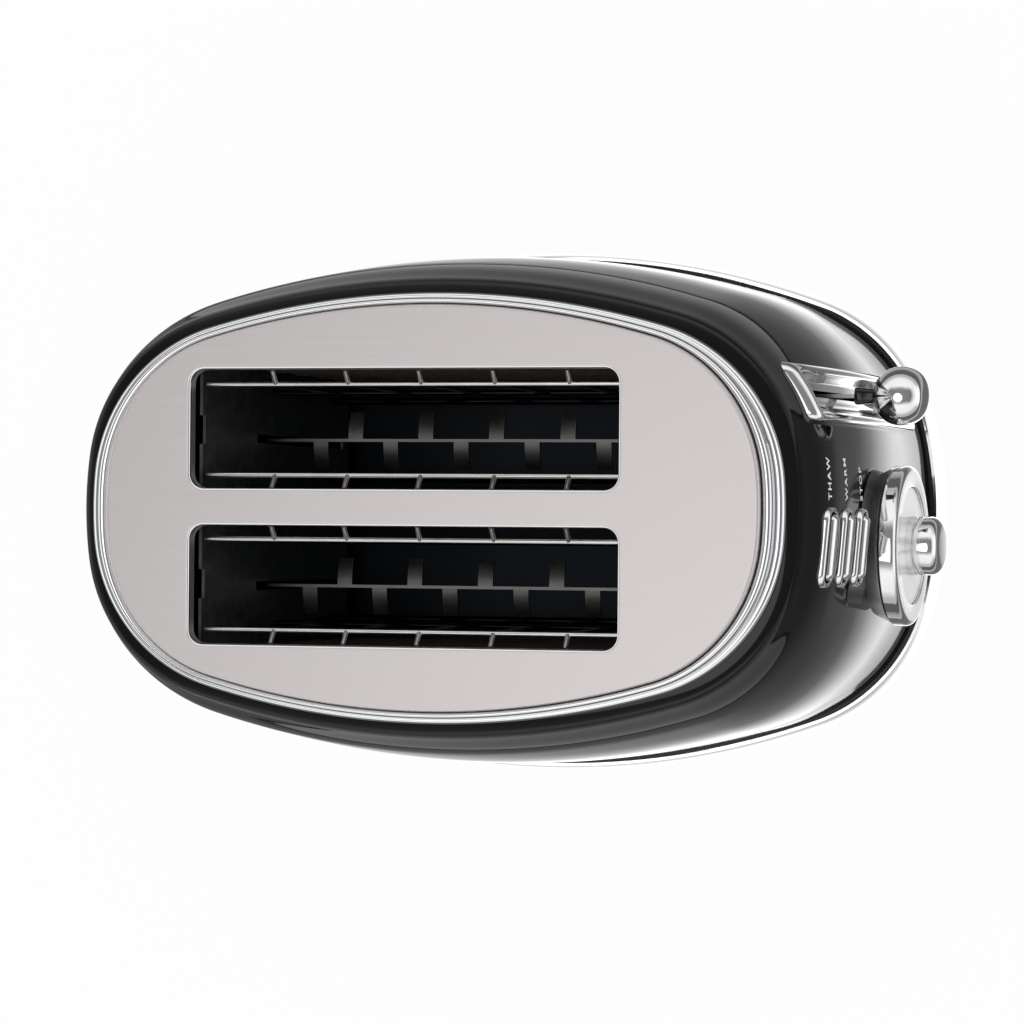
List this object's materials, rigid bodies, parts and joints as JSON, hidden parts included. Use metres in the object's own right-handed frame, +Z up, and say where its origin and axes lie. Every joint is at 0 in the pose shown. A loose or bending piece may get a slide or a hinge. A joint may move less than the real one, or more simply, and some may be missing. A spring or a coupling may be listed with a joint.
{
  "type": "two-slice toaster",
  "caption": "Oval two-slice toaster with a glossy flared body, bright trim, a ball lever, push buttons, a browning dial and a crumb tray.",
  "frame": {"origin": "on the table under the middle of the whole toaster's box", "axes": "+X towards the end with lever, dial and buttons, +Y to the lever's side, +Z up"},
  "size_m": [0.2954, 0.1866, 0.192],
  "materials": {
    "black_enamel": "gloss black enamel on drawn steel",
    "satin_steel": "satin brushed stainless steel",
    "chrome": "polished chrome plate",
    "black_plastic": "fine-grained black plastic",
    "black_rubber": "matt black rubber",
    "zinc_steel": "zinc-plated steel sheet",
    "steel_wire": "bright drawn steel wire",
    "mica": "pressed mica board",
    "heating_alloy": "oxidised heating ribbon",
    "brass": "plain turned brass",
    "copper_coil": "enamelled copper winding",
    "white_plastic": "white moulded plastic",
    "dial_satin": "spun satin aluminium",
    "board_green": "green circuit board"
  },
  "bodies": {
    "housing": {"body_shell": "black_enamel", "top_plate": "satin_steel", "top_trim_ring": "chrome", "base_skirt": "chrome", "base_pan": "black_plastic", "rubber_feet": "black_rubber", "base_screws": "zinc_steel", "rear_end_sheet": "zinc_steel", "front_end_sheet": "zinc_steel", "reflector_left": "zinc_steel", "reflector_right": "zinc_steel", "guide_rod": "steel_wire", "rod_bracket": "zinc_steel", "return_spring": "steel_wire", "magnet_core": "zinc_steel", "magnet_coil": "copper_coil", "mains_switch": "black_plastic", "lever_bezel": "chrome", "button_rims": "chrome", "button_switches": "black_plastic", "dial_bezel": "chrome", "control_board": "board_green", "dial_potentiometer": "black_plastic", "cord_gland": "black_plastic", "terminal_block": "white_plastic", "heating_card_outer_left": "mica", "heating_ribbon_outer_left": "heating_alloy", "heating_card_inner_left": "mica", "heating_ribbon_inner_left": "heating_alloy", "heating_card_inner_right": "mica", "heating_ribbon_inner_right": "heating_alloy", "heating_card_outer_right": "mica", "heating_ribbon_outer_right": "heating_alloy"},
    "carriage": {"carriage_plate": "zinc_steel", "carriage_bush": "brass", "bread_rack_left": "zinc_steel", "bread_rack_right": "zinc_steel", "lever_arm": "zinc_steel", "lever_neck": "black_plastic", "lever_knob": "chrome", "latch_armature": "zinc_steel"},
    "dial": {"dial_disc": "chrome", "dial_inlay": "dial_satin", "dial_grip": "chrome", "dial_shaft": "steel_wire"},
    "defrost_key": {"defrost_button": "chrome"},
    "reheat_key": {"reheat_button": "chrome"},
    "cancel_key": {"cancel_button": "chrome"},
    "crumb_drawer": {"crumb_tray": "zinc_steel", "crumb_tray_front": "chrome", "crumb_tray_pull": "black_plastic"},
    "guide_left_outer": {"bread_guide_left_outer": "steel_wire"},
    "guide_left_inner": {"bread_guide_left_inner": "steel_wire"},
    "guide_right_inner": {"bread_guide_right_inner": "steel_wire"},
    "guide_right_outer": {"bread_guide_right_outer": "steel_wire"}
  },
  "joints": [
    {"name": "lever_slide", "type": "slide", "parent": "housing", "child": "carriage", "axis": [0, 0, -1], "range_m": [-0.022, 0.062], "stiffness_N_per_m": 90, "springref_m": -0.0126, "deforming": ["return_spring"]},
    {"name": "dial_turn", "type": "hinge", "parent": "housing", "child": "dial", "pos_m": [0.12777, -0.0109, 0.096], "axis": [0.9976, 0, 0.0698], "range_deg": [-135, 135]},
    {"name": "crumb_tray_slide", "type": "slide", "parent": "housing", "child": "crumb_drawer", "axis": [-1, 0, 0], "range_m": [0, 0.19]},
    {"name": "defrost_press", "type": "slide", "parent": "housing", "child": "defrost_key", "axis": [-1, 0, 0], "range_m": [0, 0.002], "stiffness_N_per_m": 400, "springref_m": -0.002},
    {"name": "reheat_press", "type": "slide", "parent": "housing", "child": "reheat_key", "axis": [-1, 0, 0], "range_m": [0, 0.002], "stiffness_N_per_m": 400, "springref_m": -0.002},
    {"name": "cancel_press", "type": "slide", "parent": "housing", "child": "cancel_key", "axis": [-1, 0, 0], "range_m": [0, 0.002], "stiffness_N_per_m": 400, "springref_m": -0.002},
    {"name": "guide_left_outer_swing", "type": "hinge", "parent": "housing", "child": "guide_left_outer", "pos_m": [-0.00353, 0.039, 0.044], "axis": [1, 0, 0], "range_deg": [-1.29, 3.55]},
    {"name": "guide_left_inner_swing", "type": "hinge", "parent": "housing", "child": "guide_left_inner", "pos_m": [-0.00353, 0.011, 0.044], "axis": [1, 0, 0], "range_deg": [-3.55, 1.29]},
    {"name": "guide_right_inner_swing", "type": "hinge", "parent": "housing", "child": "guide_right_inner", "pos_m": [-0.00353, -0.011, 0.044], "axis": [1, 0, 0], "range_deg": [-1.29, 3.55]},
    {"name": "guide_right_outer_swing", "type": "hinge", "parent": "housing", "child": "guide_right_outer", "pos_m": [-0.00353, -0.039, 0.044], "axis": [1, 0, 0], "range_deg": [-3.55, 1.29]}
  ],
  "couplings": [
    {"joint": "guide_left_outer_swing", "follows": "lever_slide", "rad_per_m": 0.985},
    {"joint": "guide_left_inner_swing", "follows": "lever_slide", "rad_per_m": -0.985},
    {"joint": "guide_right_inner_swing", "follows": "lever_slide", "rad_per_m": 0.985},
    {"joint": "guide_right_outer_swing", "follows": "lever_slide", "rad_per_m": -0.985}
  ]
}
